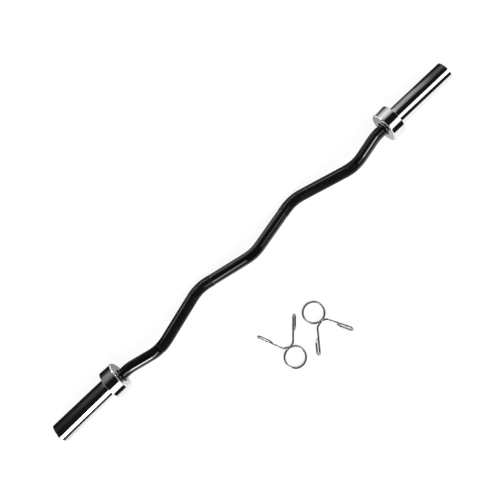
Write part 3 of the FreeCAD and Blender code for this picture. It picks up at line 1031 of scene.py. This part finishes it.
def add_cards():
    material = card_material()
    add_dark_cards(material)
    add_shade_card(material)
    add_softboxes(material)
    add_reflector(material)
    add_grip_strips(material)
    add_rim_cards(material)
    add_foot_shade_cards(material)


def add_lamps():
    tilt = math.radians(LAMP_TILT_DEG)
    for name, way in SIDES.items():
        lamp = bpy.data.lights.new(name + "_softbox", "AREA")
        lamp.shape = "RECTANGLE"
        lamp.size = LAMP_LENGTH
        lamp.size_y = LAMP_WIDTH
        lamp.energy = LAMP_RADIANCE * math.pi * LAMP_LENGTH * LAMP_WIDTH
        stand = bpy.data.objects.new(lamp.name, lamp)
        stand.location = (way * LAMP_X, -LAMP_DISTANCE * math.sin(tilt), LAMP_DISTANCE * math.cos(tilt))
        stand.rotation_euler = (tilt, 0, 0)
        stand.visible_camera = False
        stand.visible_glossy = False
        bpy.context.scene.collection.objects.link(stand)


def seen_directly(nodes, links):
    """One for rays from the camera, a mirror or glass, nothing for the rest."""
    path = nodes.new("ShaderNodeLightPath")
    total = path.outputs["Is Camera Ray"]
    for name in ("Is Glossy Ray", "Is Transmission Ray"):
        larger = nodes.new("ShaderNodeMath")
        larger.operation = "MAXIMUM"
        links.new(total, larger.inputs[0])
        links.new(path.outputs[name], larger.inputs[1])
        total = larger.outputs["Value"]
    return total


def floor_glow(nodes, links):
    """A glow that grows away from the object, where the lamps light the floor less."""
    place = nodes.new("ShaderNodeTexCoord")
    reach = nodes.new("ShaderNodeVectorMath")
    reach.operation = "LENGTH"
    links.new(place.outputs["Object"], reach.inputs[0])
    glow = nodes.new("ShaderNodeMapRange")
    glow.inputs["From Min"].default_value = FLOOR_NEAR_REACH
    glow.inputs["From Max"].default_value = FLOOR_FAR_REACH
    glow.inputs["To Min"].default_value = FLOOR_NEAR_GLOW
    glow.inputs["To Max"].default_value = FLOOR_FAR_GLOW
    links.new(reach.outputs["Value"], glow.inputs["Value"])
    return glow.outputs["Result"]


def add_floor():
    half = FLOOR_SIZE / 2
    corners = [(-half, -half, floor_z), (half, -half, floor_z), (half, half, floor_z), (-half, half, floor_z)]
    floor = make_piece("floor", corners, [(0, 1, 2, 3)], [False])
    material, nodes, links, shader = new_material("pale_floor")
    shader.inputs["Base Color"].default_value = (FLOOR_SHADE, FLOOR_SHADE, FLOOR_SHADE, 1)
    shader.inputs["Roughness"].default_value = 1
    shader.inputs["Specular IOR Level"].default_value = 0
    shader.inputs["Emission Color"].default_value = (1, 1, 1, 1)
    strength = nodes.new("ShaderNodeMath")
    strength.operation = "MULTIPLY"
    links.new(seen_directly(nodes, links), strength.inputs[0])
    links.new(floor_glow(nodes, links), strength.inputs[1])
    links.new(strength.outputs["Value"], shader.inputs["Emission Strength"])
    floor.data.materials.append(material)


def add_world():
    world = bpy.data.worlds.new("studio")
    world.use_nodes = True
    nodes = world.node_tree.nodes
    links = world.node_tree.links
    level = nodes.new("ShaderNodeMapRange")
    level.inputs["To Min"].default_value = WORLD_FILL
    level.inputs["To Max"].default_value = 1
    links.new(seen_directly(nodes, links), level.inputs["Value"])
    nodes["Background"].inputs["Color"].default_value = (1, 1, 1, 1)
    links.new(level.outputs["Result"], nodes["Background"].inputs["Strength"])
    bpy.context.scene.world = world


def add_camera():
    camera = bpy.data.cameras.new("camera")
    camera.lens = CAMERA_LENS
    stand = bpy.data.objects.new("camera", camera)
    stand.location = (CAMERA_X, CAMERA_Y, CAMERA_HEIGHT)
    stand.rotation_euler = (0, 0, math.radians(CAMERA_ROLL_DEG))
    bpy.context.scene.collection.objects.link(stand)
    bpy.context.scene.camera = stand


build_shaft()
build_sleeves()
build_clips()
dress_hidden_nodes()
add_floor()
add_lamps()
add_cards()
add_world()
add_camera()
bpy.context.scene.view_settings.view_transform = "Standard"
